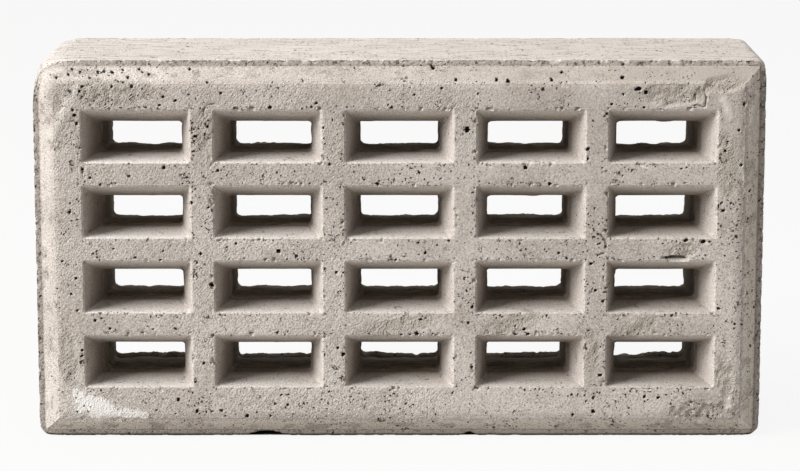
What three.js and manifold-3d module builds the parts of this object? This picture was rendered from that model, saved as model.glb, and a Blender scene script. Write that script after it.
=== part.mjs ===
// A cast concrete ventilation block: one solid with a framed front face and a grid of flared openings.
// Millimetres. +X runs along the block, the front face looks towards -Y, +Z is up.
// The origin is the centre of the bed that the block stands on.
import * as THREE from "three";
import { mergeVertices } from "three/addons/utils/BufferGeometryUtils.js";
import Module from "manifold-3d";

const wasm = await Module();
wasm.setup();

// The block's outside.
const LENGTH = 390;
const HEIGHT = 205;
const DEPTH = 110;
const CORNER_RADIUS = 4.5;
const BACK_ARRIS = 2;

// The front: a narrow ledge all round, then a chamfer that rises to the raised main face.
const LEDGE_WIDTH = 3;
const CHAMFER_RUN = 8.5;
const FACE_RISE = 8;
const FACE_CORNER_RADIUS = 1;

// The grid of openings, centred along the block.
const COLUMNS = 5;
const ROWS = 4;
const COLUMN_PITCH = 70;
const ROW_PITCH = 40.7;
const GRID_CENTRE_HEIGHT = 104;

// One opening: a mouth that narrows to a throat, and a channel whose floor falls to the back.
const MOUTH_WIDTH = 57;
const MOUTH_HEIGHT = 27.2;
const MOUTH_CORNER_RADIUS = 1;
const MOUTH_ARRIS = 0.8;
const FLARE_DEPTH = 30;
const THROAT_WIDTH = 44;
const THROAT_HEIGHT = 16.2;
const THROAT_CORNER_RADIUS = 2.2;
const THROAT_DROP = 3.8;
const FLOOR_FALL = 9.4;
const EXIT_WIDTH = 44;
const EXIT_CORNER_RADIUS = 3;
const EXIT_ARRIS = 1.2;

// Facets to a quarter circle, and how far a cutter reaches past the face it cuts.
const CORNER_FACETS = 4;
const CUTTER_OVERRUN = 1;

const FRONT = -DEPTH / 2;
const BACK = DEPTH / 2;

// A rounded rectangle in the XZ plane at the depth y, its points counted round from the lower right corner.
function section(y, width, height, radius, centreX, centreZ) {
  const corners = [
    [1, -1, -90],
    [1, 1, 0],
    [-1, 1, 90],
    [-1, -1, 180],
  ];
  const points = [];
  for (const [sideX, sideZ, startDegrees] of corners) {
    const x = centreX + sideX * (width / 2 - radius);
    const z = centreZ + sideZ * (height / 2 - radius);
    for (let step = 0; step <= CORNER_FACETS; step++) {
      const angle = THREE.MathUtils.degToRad(startDegrees + (90 * step) / CORNER_FACETS);
      points.push(new THREE.Vector3(x + radius * Math.cos(angle), y, z + radius * Math.sin(angle)));
    }
  }
  return points;
}

// A closed loft through sections listed from front to back.
function loft(sections) {
  const around = sections[0].length;
  const positions = sections.flat().flatMap((point) => point.toArray());
  const index = [];
  for (let ring = 0; ring + 1 < sections.length; ring++) {
    for (let i = 0; i < around; i++) {
      const a = ring * around + i;
      const b = ring * around + ((i + 1) % around);
      index.push(a, b + around, b, a, a + around, b + around);
    }
  }
  const last = (sections.length - 1) * around;
  for (let i = 1; i + 1 < around; i++) {
    index.push(0, i, i + 1);
    index.push(last, last + i + 1, last + i);
  }
  const geometry = new THREE.BufferGeometry();
  geometry.setAttribute("position", new THREE.Float32BufferAttribute(positions, 3));
  geometry.setIndex(index);
  return geometry;
}

function toSolid(geometry) {
  const merged = mergeVertices(geometry, 1e-4);
  return new wasm.Manifold(
    new wasm.Mesh({
      numProp: 3,
      vertProperties: merged.attributes.position.array,
      triVerts: new Uint32Array(merged.index.array),
    }),
  );
}

function toGeometry(solid) {
  const mesh = solid.getMesh();
  const geometry = new THREE.BufferGeometry();
  geometry.setAttribute("position", new THREE.BufferAttribute(mesh.vertProperties, 3));
  geometry.setIndex(new THREE.BufferAttribute(mesh.triVerts, 1));
  const flat = geometry.toNonIndexed();
  flat.computeVertexNormals();
  return flat;
}

// The block without its openings.
function blockBlank() {
  const centreZ = HEIGHT / 2;
  const ledgeY = FRONT + FACE_RISE;
  const faceInset = LEDGE_WIDTH + CHAMFER_RUN;
  const outline = (y, inset, radius) =>
    section(y, LENGTH - 2 * inset, HEIGHT - 2 * inset, radius, 0, centreZ);
  return toSolid(
    loft([
      outline(FRONT, faceInset, FACE_CORNER_RADIUS),
      outline(ledgeY, LEDGE_WIDTH, FACE_CORNER_RADIUS),
      outline(ledgeY, 0, CORNER_RADIUS),
      outline(BACK - BACK_ARRIS, 0, CORNER_RADIUS),
      outline(BACK, BACK_ARRIS, CORNER_RADIUS - BACK_ARRIS),
    ]),
  );
}

// The core that leaves one opening, centred on its mouth.
function openingCore(centreX, centreZ) {
  const throatZ = centreZ - THROAT_DROP;
  const exitHeight = THROAT_HEIGHT + FLOOR_FALL;
  const exitZ = throatZ - FLOOR_FALL / 2;
  const throatY = FRONT + FLARE_DEPTH;
  const mouth = (y, grow) =>
    section(y, MOUTH_WIDTH + 2 * grow, MOUTH_HEIGHT + 2 * grow, MOUTH_CORNER_RADIUS + grow, centreX, centreZ);
  const exit = (y, grow) =>
    section(y, EXIT_WIDTH + 2 * grow, exitHeight + 2 * grow, EXIT_CORNER_RADIUS + grow, centreX, exitZ);
  return toSolid(
    loft([
      mouth(FRONT - CUTTER_OVERRUN, MOUTH_ARRIS),
      mouth(FRONT, MOUTH_ARRIS),
      mouth(FRONT + MOUTH_ARRIS, 0),
      section(throatY, THROAT_WIDTH, THROAT_HEIGHT, THROAT_CORNER_RADIUS, centreX, throatZ),
      exit(BACK - EXIT_ARRIS, 0),
      exit(BACK, EXIT_ARRIS),
      exit(BACK + CUTTER_OVERRUN, EXIT_ARRIS),
    ]),
  );
}

function openingCentres() {
  const centres = [];
  for (let row = 0; row < ROWS; row++) {
    for (let column = 0; column < COLUMNS; column++) {
      centres.push([
        (column - (COLUMNS - 1) / 2) * COLUMN_PITCH,
        GRID_CENTRE_HEIGHT + ((ROWS - 1) / 2 - row) * ROW_PITCH,
      ]);
    }
  }
  return centres;
}

function ventBlock() {
  let solid = blockBlank();
  for (const [x, z] of openingCentres()) {
    solid = solid.subtract(openingCore(x, z));
  }
  const concrete = new THREE.MeshStandardMaterial({ color: 0xb3aca2, roughness: 0.92, metalness: 0 });
  const mesh = new THREE.Mesh(toGeometry(solid), concrete);
  mesh.name = "vent_block";
  return mesh;
}

const block = new THREE.Group();
block.add(ventBlock());

export default block;
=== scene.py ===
# A cast concrete ventilation block: framed face, twenty flared openings, worn arrises and air holes.
import math

import bpy
import numpy as np
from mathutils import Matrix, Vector, kdtree


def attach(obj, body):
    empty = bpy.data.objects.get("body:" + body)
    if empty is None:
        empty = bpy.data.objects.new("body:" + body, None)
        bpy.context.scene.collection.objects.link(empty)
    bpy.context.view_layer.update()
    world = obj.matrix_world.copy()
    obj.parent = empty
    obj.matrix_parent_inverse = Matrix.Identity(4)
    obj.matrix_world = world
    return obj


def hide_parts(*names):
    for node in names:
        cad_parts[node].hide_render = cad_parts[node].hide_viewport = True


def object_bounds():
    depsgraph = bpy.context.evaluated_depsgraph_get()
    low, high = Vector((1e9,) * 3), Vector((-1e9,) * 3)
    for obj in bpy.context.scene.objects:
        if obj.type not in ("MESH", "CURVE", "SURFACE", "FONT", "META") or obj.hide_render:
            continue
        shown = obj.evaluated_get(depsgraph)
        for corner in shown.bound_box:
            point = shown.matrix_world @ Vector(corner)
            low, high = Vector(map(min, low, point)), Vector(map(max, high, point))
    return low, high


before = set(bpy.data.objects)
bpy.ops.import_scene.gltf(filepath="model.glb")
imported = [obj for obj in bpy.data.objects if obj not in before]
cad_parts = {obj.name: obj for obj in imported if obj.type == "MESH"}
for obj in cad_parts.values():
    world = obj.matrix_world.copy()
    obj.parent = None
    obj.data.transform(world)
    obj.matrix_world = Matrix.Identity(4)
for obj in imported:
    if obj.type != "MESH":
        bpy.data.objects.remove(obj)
cadLow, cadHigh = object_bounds()
mm = 0.001  # every size below is in millimetres, as the mould maker would write it
metre = 1000.0  # in millimetres

block = {
    "left": cadLow[0] / mm,
    "right": cadHigh[0] / mm,
    "front": cadLow[1] / mm,
    "back": cadHigh[1] / mm,
    "top": cadHigh[2] / mm,
    "cornerRadius": 4.5,
    "backArris": 2.0,
    "ledge": 3.0,
    "chamfer": 8.5,
    "faceRise": 8.0,
}
opening = {
    "columns": 5,
    "rows": 4,
    "columnPitch": 70.0,
    "rowPitch": 40.7,
    "gridHeight": 104.0,
    "mouth": (58.6, 28.8, 1.8),  # width, height and corner radius at the face
    "mouthArris": 0.8,
    "throat": (44.0, 16.2, 2.2),
    "throatDrop": 3.8,
    "throatDepth": 30.0,
    "throatRound": 1.6,
    "exit": (44.0, 25.6, 3.0),
    "exitDrop": 8.5,
    "exitArris": 1.2,
    "fallByRow": (-1.1, -0.2, 0.3, 1.0),  # the mould's cores were not set quite alike
    "ceilingSag": 0.9,  # the fresh mix sank a little over each opening, and its front edge crumbled upwards
    "edgeLift": 0.5,
}
grain = {  # distance between mesh points on each surface
    "face": 0.66,
    "chamfer": 0.7,
    "ledge": 0.6,
    "flare": 1.8,
    "channel": 2.2,
    "sideFine": 1.2,
    "side": 2.0,
    "back": 2.6,
    "fineDepth": 12.0,  # how far behind the ledge the sides stay fine
    "uprightShare": 1.35,  # a throat's upright sides have more points than their length alone gives them
}

ledgeY = block["front"] + block["faceRise"]
throatY = block["front"] + opening["throatDepth"]
midHeight = block["top"] / 2
faceInset = block["ledge"] + block["chamfer"]

# rings and grids that share their edge points, so that the pieces meet without a gap
points = []
faces = {"blockFace": [], "blockFrame": [], "blockFlares": [], "blockChannels": [], "blockSides": []}
pointTotal = 0


def addPoints(xyz):
    global pointTotal
    points.append(xyz)
    start = pointTotal
    pointTotal += len(xyz)
    return np.arange(start, pointTotal)


def spread(breaks, step):
    # values from break to break in steps of about one size, and where each break landed
    values, marks = [breaks[0]], [0]
    for a, b in zip(breaks, breaks[1:]):
        count = max(1, round((b - a) / step))
        values.extend(a + (b - a) * (k + 1) / count for k in range(count))
        marks.append(len(values) - 1)
    return np.array(values), marks


def ringOfGrid(grid, i0, i1, j0, j1):
    return np.concatenate(
        [grid[i0:i1, j0], grid[i1, j0:j1], grid[i1:i0:-1, j1], grid[i0, j1:j0:-1]]
    )


def ringPlaces(xyz, width, height, x, z):
    # places on a square's edge, -1 to 1 each way, and how far round it each is, 0 to 4
    edge = 0.99999
    u = np.clip((xyz[:, 0] - x) / (width / 2), -1, 1)
    v = np.clip((xyz[:, 2] - z) / (height / 2), -1, 1)
    way = np.where(v <= -edge, (u + 1) / 2, np.where(u >= edge, 1 + (v + 1) / 2, 0))
    way = np.where((v >= edge) & (u < edge), 2 + (1 - u) / 2, way)
    way = np.where((u <= -edge) & (v < edge) & (v > -edge), 3 + (1 - v) / 2, way)
    return np.stack([u, v, way], 1)


def squareRing(acrossCount, upCount):
    a = np.arange(acrossCount) / acrossCount
    b = np.arange(upCount) / upCount
    one = np.ones
    return np.concatenate(
        [
            np.stack([2 * a - 1, -one(len(a)), a], 1),
            np.stack([one(len(b)), 2 * b - 1, 1 + b], 1),
            np.stack([1 - 2 * a, one(len(a)), 2 + a], 1),
            np.stack([-one(len(b)), 1 - 2 * b, 3 + b], 1),
        ]
    )


def onSection(places, width, height, radius, x, y, z):
    # the same places on a rounded rectangle at the depth y
    u, v = places[:, 0], places[:, 1]
    px, pz = np.abs(u) * width / 2, np.abs(v) * height / 2
    onSide = np.abs(u) >= np.abs(v)
    fromCorner = np.where(onSide, height / 2 - pz, width / 2 - px)
    near = fromCorner < radius
    turn = math.pi / 4 * (1 - fromCorner / max(radius, 1e-6))
    angle = np.where(onSide, turn, math.pi / 2 - turn)
    px = np.where(near, width / 2 - radius + radius * np.cos(angle), px)
    pz = np.where(near, height / 2 - radius + radius * np.sin(angle), pz)
    return np.stack([x + np.sign(u) * px, np.full(len(u), float(y)), z + np.sign(v) * pz], 1)


def wall(piece, a, b, inward=True):
    a2, b2 = np.roll(a, -1), np.roll(b, -1)
    quads = np.stack([a, a2, b2, b], 1) if inward else np.stack([a, b, b2, a2], 1)
    faces[piece].append(quads)


def zipRings(piece, a, wayA, b, wayB, inward=True):
    made = []
    i = j = 0
    while i < len(a) or j < len(b):
        nextA = wayA[i + 1] if i + 1 < len(a) else 4.0
        nextB = wayB[j + 1] if j + 1 < len(b) else 4.0
        if j >= len(b) or (i < len(a) and nextA <= nextB):
            made.append((a[i % len(a)], a[(i + 1) % len(a)], b[j % len(b)]))
            i += 1
        else:
            made.append((a[i % len(a)], b[(j + 1) % len(b)], b[j % len(b)]))
            j += 1
    made = np.array(made)
    faces[piece].append(made if inward else made[:, ::-1])


def coarseWall(piece, first, firstWay, rings, way, last, lastWay, inward=True):
    # from a fine ring, over coarse ones, to another fine ring
    zipRings(piece, first, firstWay, rings[0], way, inward)
    for a, b in zip(rings, rings[1:]):
        wall(piece, a, b, inward)
    zipRings(piece, rings[-1], way, last, lastWay, inward)


def columnX(column):
    return (column - (opening["columns"] - 1) / 2) * opening["columnPitch"]


def rowZ(row):  # rows counted from the top
    return opening["gridHeight"] + ((opening["rows"] - 1) / 2 - row) * opening["rowPitch"]


def gridFace(piece, y, halfWidth, lowZ, highZ, holeOf, step, facingFront):
    # a flat grid with the openings left out; gives the outline's ring and each opening's ring
    breaksX, breaksZ = [-halfWidth], [lowZ]
    for column in range(opening["columns"]):
        width = holeOf(0)[0]
        breaksX += [columnX(column) - width / 2, columnX(column) + width / 2]
    for row in reversed(range(opening["rows"])):
        width, height, radius, drop = holeOf(row)
        breaksZ += [rowZ(row) - drop - height / 2, rowZ(row) - drop + height / 2]
    xs, marksX = spread(breaksX + [halfWidth], step)
    zs, marksZ = spread(breaksZ + [highZ], step)
    gx, gz = np.meshgrid(xs, zs, indexing="ij")
    xyz = np.stack([gx.ravel(), np.full(gx.size, float(y)), gz.ravel()], 1)
    ids = addPoints(xyz)
    grid = ids.reshape(gx.shape)
    keep = np.ones((len(xs) - 1, len(zs) - 1), bool)
    rings = {}
    for column in range(opening["columns"]):
        for row in range(opening["rows"]):
            width, height, radius, drop = holeOf(row)
            i0, i1 = marksX[1 + 2 * column], marksX[2 + 2 * column]
            k = opening["rows"] - 1 - row
            j0, j1 = marksZ[1 + 2 * k], marksZ[2 + 2 * k]
            keep[i0:i1, j0:j1] = False
            ring = ringOfGrid(grid, i0, i1, j0, j1)
            places = ringPlaces(xyz[ring - ids[0]], width, height, columnX(column), rowZ(row) - drop)
            xyz[ring - ids[0]] = onSection(places, width, height, radius, columnX(column), y, rowZ(row) - drop)
            rings[column, row] = (ring, places)
    i, j = np.nonzero(keep)
    quads = np.stack([grid[i, j], grid[i + 1, j], grid[i + 1, j + 1], grid[i, j + 1]], 1)
    faces[piece].append(quads if facingFront else quads[:, ::-1])
    outline = ringOfGrid(grid, 0, len(xs) - 1, 0, len(zs) - 1)
    places = ringPlaces(xyz[outline - ids[0]], 2 * halfWidth, highZ - lowZ, 0, (lowZ + highZ) / 2)
    return outline, places, rings


def mouthHole(row):
    return *opening["mouth"], 0.0


def exitHole(row):
    width, height, radius = opening["exit"]
    arris, fall = opening["exitArris"], opening["fallByRow"][row]
    return width + 2 * arris, height + 2 * arris + fall, radius + arris, opening["exitDrop"] + fall / 2


halfLength = (block["right"] - block["left"]) / 2
outlineRing, outlinePlaces, mouthRings = gridFace(
    "blockFace", block["front"], halfLength - faceInset, faceInset, block["top"] - faceInset,
    mouthHole, grain["face"], True,
)
backInset = block["backArris"]
backRing, backPlaces, exitRings = gridFace(
    "blockSides", block["back"], halfLength - backInset, backInset, block["top"] - backInset,
    exitHole, grain["back"], False,
)


def blockSection(places, y, inset, radius):
    return onSection(places, 2 * (halfLength - inset), block["top"] - 2 * inset, radius, 0, y, midHeight)


def fineBands():
    # each ring's piece, depth, inset and corner radius: down the chamfer, out on the ledge, back along the sides
    steps = round(math.hypot(block["chamfer"], block["faceRise"]) / grain["chamfer"])
    for k in range(1, steps + 1):
        f = k / steps
        yield "blockFrame", block["front"] + f * block["faceRise"], faceInset - f * block["chamfer"], 0.0
    steps = round(block["ledge"] / grain["ledge"])
    for k in range(1, steps + 1):
        f = k / steps
        yield "blockFrame", ledgeY, (1 - f) * block["ledge"], f * block["cornerRadius"]
    steps = round(grain["fineDepth"] / grain["sideFine"])
    for k in range(1, steps + 1):
        yield "blockSides", ledgeY + grain["fineDepth"] * k / steps, 0, block["cornerRadius"]


def makeOutside():
    last = outlineRing
    for piece, y, inset, radius in fineBands():
        ring = addPoints(blockSection(outlinePlaces, y, inset, radius))
        wall(piece, last, ring, False)
        last = ring
    coarse = squareRing(round(2 * halfLength / grain["side"]), round(block["top"] / grain["side"]))
    start = ledgeY + grain["fineDepth"] + grain["side"]
    end = block["back"] - block["backArris"]
    steps = round((end - start) / grain["side"])
    rings = [
        addPoints(blockSection(coarse, start + (end - start) * k / steps, 0, block["cornerRadius"]))
        for k in range(steps + 1)
    ]
    way = coarse[:, 2]
    coarseWall("blockSides", last, outlinePlaces[:, 2], rings, way, backRing, backPlaces[:, 2], False)


def roundMax(a, b, blend):
    return (a + b + math.sqrt((a - b) ** 2 + blend**2)) / 2


def coreSection(depth, row):
    # half width, ceiling and floor of the core at a depth behind the face, and its corner radius
    mouth, throat, leave = opening["mouth"], opening["throat"], opening["exit"]
    fall = opening["fallByRow"][row]
    f = depth / opening["throatDepth"]
    g = (depth - opening["throatDepth"]) / (block["back"] - throatY)
    narrow = 2 * opening["mouthArris"]
    flare = (
        (mouth[0] - narrow + f * (throat[0] - mouth[0] + narrow)) / 2,
        (mouth[1] - narrow) / 2 + f * (throat[1] - mouth[1] + narrow) / 2 - f * opening["throatDrop"],
        (mouth[1] - narrow) / 2 + f * (throat[1] - mouth[1] + narrow) / 2 + f * opening["throatDrop"],
    )
    channel = (
        (throat[0] + g * (leave[0] - throat[0])) / 2,
        throat[1] / 2 - opening["throatDrop"],
        throat[1] / 2 + opening["throatDrop"] + g * (leave[1] - throat[1] + fall),
    )
    half, ceiling, floor = (roundMax(a, b, opening["throatRound"]) for a, b in zip(flare, channel))
    arris = max(0.0, opening["mouthArris"] - depth)
    behind = max(0.0, depth - (block["back"] - block["front"] - opening["exitArris"]))
    radius = mouth[2] - opening["mouthArris"]
    radius += min(f, 1) * (throat[2] - radius) + max(g, 0) * (leave[2] - throat[2])
    grown = arris + behind
    return half + grown, ceiling + grown, floor + grown, radius + grown


def coreRing(places, depth, column, row):
    half, ceiling, floor, radius = coreSection(depth, row)
    return addPoints(
        onSection(
            places, 2 * half, ceiling + floor, radius,
            columnX(column), block["front"] + depth, rowZ(row) + (ceiling - floor) / 2,
        )
    )


def makeOpening(column, row):
    last, places = mouthRings[column, row]
    throatDepth, thickness = opening["throatDepth"], block["back"] - block["front"]
    steps = round((throatDepth - opening["mouthArris"]) / grain["flare"])
    for depth in np.linspace(opening["mouthArris"], throatDepth, steps + 1):
        ring = coreRing(places, depth, column, row)
        wall("blockFlares", last, ring)
        last = ring
    throat = opening["throat"]
    ringCount = len(places) // 2
    up = round(ringCount / 2 * throat[1] / (throat[0] + throat[1]) * grain["uprightShare"])
    coarse = squareRing(ringCount // 2 - up, up)
    start, end = throatDepth + grain["channel"], thickness - opening["exitArris"]
    steps = round((end - start) / grain["channel"])
    rings = [coreRing(coarse, depth, column, row) for depth in np.linspace(start, end, steps + 1)]
    exitRing, exitPlaces = exitRings[column, row]
    coarseWall("blockChannels", last, places[:, 2], rings, coarse[:, 2], exitRing, exitPlaces[:, 2])


makeOutside()
for column in range(opening["columns"]):
    for row in range(opening["rows"]):
        makeOpening(column, row)
place = np.concatenate(points)
print("mesh points", len(place), {k: sum(len(f) * (f.shape[1] - 2) for f in v) for k, v in faces.items()})


def hashed(cell, seed):
    # one number from -1 to 1 for each cell, scattered by large odd factors
    factors, stir = np.array([374761393, 668265263, 2147483647]), 1274126177
    h = cell @ factors + seed * stir
    h = (h ^ (h >> 13)) * stir
    h = h ^ (h >> 16)
    lowBits = 0xFFFFF
    return (h & lowBits) / (lowBits / 2) - 1.0


def noise(at, size, seed):
    # smooth noise from -1 to 1 whose lumps are about size millimetres across
    q = at / size + 1000.0
    cell = np.floor(q).astype(np.int64)
    f = q - cell
    f = f * f * (3 - 2 * f)
    total = np.zeros(len(at))
    for corner in range(8):
        step = np.array([corner & 1, corner >> 1 & 1, corner >> 2])
        weight = np.prod(np.where(step, f, 1 - f), axis=1)
        total += weight * hashed(cell + step, seed)
    return total


def rough(at, size, seed, octaves=3):
    # noise over noise, each layer finer and weaker than the one before
    finer, weaker, nextSeed = 2.1, 0.55, 17
    total, weight, norm = np.zeros(len(at)), 1.0, 0.0
    for k in range(octaves):
        total += weight * noise(at, size / finer**k, seed + nextSeed * k)
        norm += weight
        weight *= weaker
    return total / norm


def ramp(value, low, high):
    t = np.clip((value - low) / (high - low), 0, 1)
    return t * t * (3 - 2 * t)


def bell(distance, width):
    return np.exp(-((distance / width) ** 2))


def normals(at):
    total = np.zeros_like(at)
    for group in faces.values():
        for f in group:
            if f.shape[1] == 4:
                n = np.cross(at[f[:, 2]] - at[f[:, 0]], at[f[:, 3]] - at[f[:, 1]])
            else:
                n = np.cross(at[f[:, 1]] - at[f[:, 0]], at[f[:, 2]] - at[f[:, 0]])
            n /= np.maximum(np.linalg.norm(n, axis=1, keepdims=True), 1e-12)
            for corner in range(f.shape[1]):
                np.add.at(total, f[:, corner], n)
    return total / np.maximum(np.linalg.norm(total, axis=1, keepdims=True), 1e-12)


def loopDistance(x, z, halfX, halfZ):
    qx, qz = np.abs(x) - halfX, np.abs(z) - halfZ
    outside = np.hypot(np.maximum(qx, 0), np.maximum(qz, 0))
    return np.abs(outside + np.minimum(np.maximum(qx, qz), 0))


def lineDistance(x, z, start, end):
    # the distance to a line from start to end, and how far along it the nearest place is, 0 to 1
    (ax, az), (bx, bz) = start, end
    t = np.clip(((x - ax) * (bx - ax) + (z - az) * (bz - az)) / ((bx - ax) ** 2 + (bz - az) ** 2), 0, 1)
    return np.hypot(x - ax - t * (bx - ax), z - az - t * (bz - az)), t


def turned(x, z, angle):
    # the same place measured along and across a direction that leans up from the horizontal
    return x * math.cos(angle) + z * math.sin(angle), z * math.cos(angle) - x * math.sin(angle)


def keepMost(values, where, new):
    values[where] = np.maximum(values[where], new)


def inside(gap, close, edge, seed, layers):
    # how far inside a ragged outline the close points are; gap is 0 in the middle and 1 on the outline
    return 1 - gap[close] + edge["ragged"] * rough(place[close], edge["raggedSize"], seed, layers)


def pointsOf(name):
    marked = np.zeros(len(place), bool)
    marked[np.unique(np.concatenate([f.ravel() for f in faces[name]]))] = True
    return marked


x, y, z = place.T
halfColumns, halfRows = (opening["columns"] - 1) / 2, opening["rows"] / 2
inX = x - np.clip(np.round(x / opening["columnPitch"]), -halfColumns, halfColumns) * opening["columnPitch"]
rowsUp = np.clip(np.floor((z - opening["gridHeight"]) / opening["rowPitch"]), -halfRows, halfRows - 1) + 0.5
inZ = z - opening["gridHeight"] - rowsUp * opening["rowPitch"]
aroundZ = z - midHeight
onFace = pointsOf("blockFace") | pointsOf("blockFrame")
onFlare, inChannel = pointsOf("blockFlares"), pointsOf("blockChannels")

# how each edge has worn: round-off, chip depth, chip length, width of the worn strip, and noise from which it chips
arris = {
    "mouth": (0.10, 1.9, 2.8, 0.85, 0.23),
    "face": (0.35, 0.6, 4.5, 1.3, 0.30),
    "faceRight": (0.55, 0.5, 9.0, 3.0, 0.20),
    "faceFoot": (0.45, 0.4, 9.0, 2.6, 0.25),
    "chamferFoot": (0.0, 0.5, 3.0, 0.8, 0.20),
    "side": (0.15, 1.5, 3.2, 0.9, 0.05),
    "back": (0.6, 1.6, 7.0, 3.0, 0.12),
    "exit": (0.5, 1.8, 5.0, 3.0, 0.05),
}
roundBlock = {  # how far in from the block's outline an edge runs, and its depth
    "face": (faceInset, block["front"]),
    "chamferFoot": (block["ledge"], ledgeY),
    "side": (0, ledgeY),
    "back": (0, block["back"]),
}
edgeDistance = {
    name: np.hypot(loopDistance(x, aroundZ, halfLength - inset, midHeight - inset), y - depth)
    for name, (inset, depth) in roundBlock.items()
}
for name, (width, height, _), drop, depth in (
    ("mouth", opening["mouth"], 0, block["front"]),
    ("exit", opening["exit"], opening["exitDrop"], block["back"]),
):
    edgeDistance[name] = np.hypot(loopDistance(inX, inZ + drop, width / 2, height / 2), y - depth)
edgeDistance["faceRight"] = np.hypot(x - halfLength + faceInset, y - block["front"])
edgeDistance["faceFoot"] = np.hypot(z - faceInset, y - block["front"])

# the skin is coarser to the left, upwards and along the foot
coarseness = {"size": 55.0, "toRight": -0.0030, "upwards": 0.0012, "foot": 0.35, "footBand": (34.0, 22.0)}
coarse = rough(place, coarseness["size"], 181, 2) + coarseness["toRight"] * x + coarseness["upwards"] * aroundZ
coarse = ramp(coarse + coarseness["foot"] * ramp(z, *coarseness["footBand"]), -0.25, 0.65)
chamferEnds = {"face": (0.6, 2.2), "ledge": (0.9, 0.2)}  # distances behind the face and before the ledge
toLedge = ramp(y, *(ledgeY - before for before in chamferEnds["ledge"]))
chamfer = onFace * ramp(y - block["front"], *chamferEnds["face"]) * (1 - toLedge)
# the face was scraped upwards to the right while it was green, which left a slanting grain
scrape = {"lean": math.radians(48), "length": 5.5, "width": 2.2, "depth": 0.14, "least": 0.1, "fromChamfer": 0.8}
scrapeAlong, scrapeAcross = turned(x, z, scrape["lean"])
scraped = np.stack([scrapeAlong / scrape["length"], y / scrape["width"], scrapeAcross / scrape["width"]], 1)

normal = normals(place)
tilted, faced = 0.3, 0.7  # parts of a normal from which a surface starts and ends turning to a side
toRight, toLeft, facingDown = (ramp(part, tilted, faced) for part in (normal[:, 0], -normal[:, 0], -normal[:, 2]))
skin = {"swell": 42.0, "swellDepth": 0.16, "lumps": 7.0, "lumpDepth": 0.05}
inward = skin["swellDepth"] * rough(place, skin["swell"], 3, 2)
inward += skin["lumpDepth"] * rough(place, skin["lumps"], 11, 3)
scrapeShare = (1 - scrape["fromChamfer"] * chamfer) * (scrape["least"] + (1 - scrape["least"]) * coarse)
inward += onFace * scrapeShare * scrape["depth"] * rough(scraped, 1.0, 13, 2)
chipping = {"wider": 1.6, "fade": 0.35, "atBed": 0.15, "bedFrom": 2.0, "bedTo": 9.0}
# the bed stood on the pallet and kept its edge, and the mouths chipped most on their left and upper edges
offBed = chipping["atBed"] + (1 - chipping["atBed"]) * ramp(z, chipping["bedFrom"], chipping["bedTo"])
atLeft, above = (0.7, 26.0, 28.5), (0.4, 11.0, 13.5)  # how much more, between two distances from the middle
mouthMore = atLeft[0] * ramp(-inX, *atLeft[1:]) + above[0] * ramp(inZ, *above[1:])
for k, (name, (roundOff, chipDepth, chipLength, width, bare)) in enumerate(arris.items()):
    near = bell(edgeDistance[name], width)
    wide = bell(edgeDistance[name], chipping["wider"] * width)
    chips = ramp(rough(place, chipLength, 31 + k, 3), bare, bare + chipping["fade"]) * offBed
    if name == "mouth":
        chips *= 1 + mouthMore
    inward += near * roundOff + wide * chips * chipDepth

# mortar squeezed past the mould's seal stands as a ragged lip at the back of the lowest openings' floors
lipMade = {"long": 4.2, "fade": (-1.6, 0.4), "height": 2.6, "below": 3.0, "firstPaintedLight": 1}
lipEdge = {"ragged": 0.6, "size": 2.4, "nextRow": 7.0}  # every floor has a slightly ragged back edge
lipShadowPlace = {"from": 4.4, "to": 10.0, "fade": 2.0}
fromBack = block["back"] - y
atLip = ramp(lipMade["long"] - fromBack, *lipMade["fade"])
floorFrom = opening["throat"][1] / 2 + opening["throatDrop"] + lipMade["below"]
onFloor = inChannel & (rowsUp < 1 - halfRows) & (inZ < -floorFrom)
lip = onFloor * atLip
lipRise = lip * lipMade["height"]
upperHalf = 6.0  # above this a point belongs to the floor of the opening over it
below = np.where(inZ > upperHalf, opening["rowPitch"] - inZ, -inZ)  # how far under its own opening's middle
lengthwise = place * np.array([1.0, 0.0, 0.0]) + rowsUp[:, None] * lipEdge["nextRow"]
lipRise += inChannel * (below > floorFrom) * atLip * lipEdge["ragged"] * rough(lengthwise, lipEdge["size"], 261, 3)
# the lip is painted pale, as if lit from behind, from the second column on
lip *= x > columnX(lipMade["firstPaintedLight"] - 0.5)
# no groove is cut here: this is a painted shadow line across the floor in front of the lip
lipShadowLine = onFloor * ramp(fromBack, lipShadowPlace["from"], lipShadowPlace["from"] + lipShadowPlace["fade"])
lipShadowLine *= ramp(lipShadowPlace["to"] - fromBack, 0.0, lipShadowPlace["fade"])

# where the mix was dry and small air holes crowd: across, up, half length and half height
porousFields = {
    "upperLeftEdge": (-150, 199, 34, 5),
    "aboveFirstMouth": (-158, 184, 22, 6),
    "firstRib": (-104, 170, 7, 19),
    "firstRowFoot": (-110, 145, 60, 5),
    "belowThirdMouth": (2, 141, 24, 8),
    "lastRib": (105, 118, 8, 24),
    "belowSlot": (150, 105, 24, 7),
    "rightOfMouths": (177, 120, 8, 40),
    "lowerLeft": (-96, 18, 36, 8),
    "footMiddle": (-15, 20, 46, 6),
    "belowLastRow": (118, 24, 34, 8),
    "fourthRib": (35, 76, 6, 24),
    "belowFourthMouth": (40, 19, 6, 6),
    "lowerRightScar": (166, 16, 21, 7),
}
fieldEdge = {"reach": 1.5, "ragged": 0.5, "raggedSize": 9.0, "fade": 0.5}
porous = np.zeros(len(place))
for k, (atX, atZ, halfX, halfZ) in enumerate(porousFields.values()):
    gap = np.hypot((x - atX) / halfX, (z - atZ) / halfZ)
    close = onFace & (gap < fieldEdge["reach"])
    keepMost(porous, close, ramp(inside(gap, close, fieldEdge, 301 + k, 2), 0.0, fieldEdge["fade"]))
shaded = chamfer * ((normal[:, 0] > tilted) | (normal[:, 2] < -tilted))  # the right and lower chamfers
shadedPorous = 0.5
porous = np.maximum(porous, shadedPorous * shaded)

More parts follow.
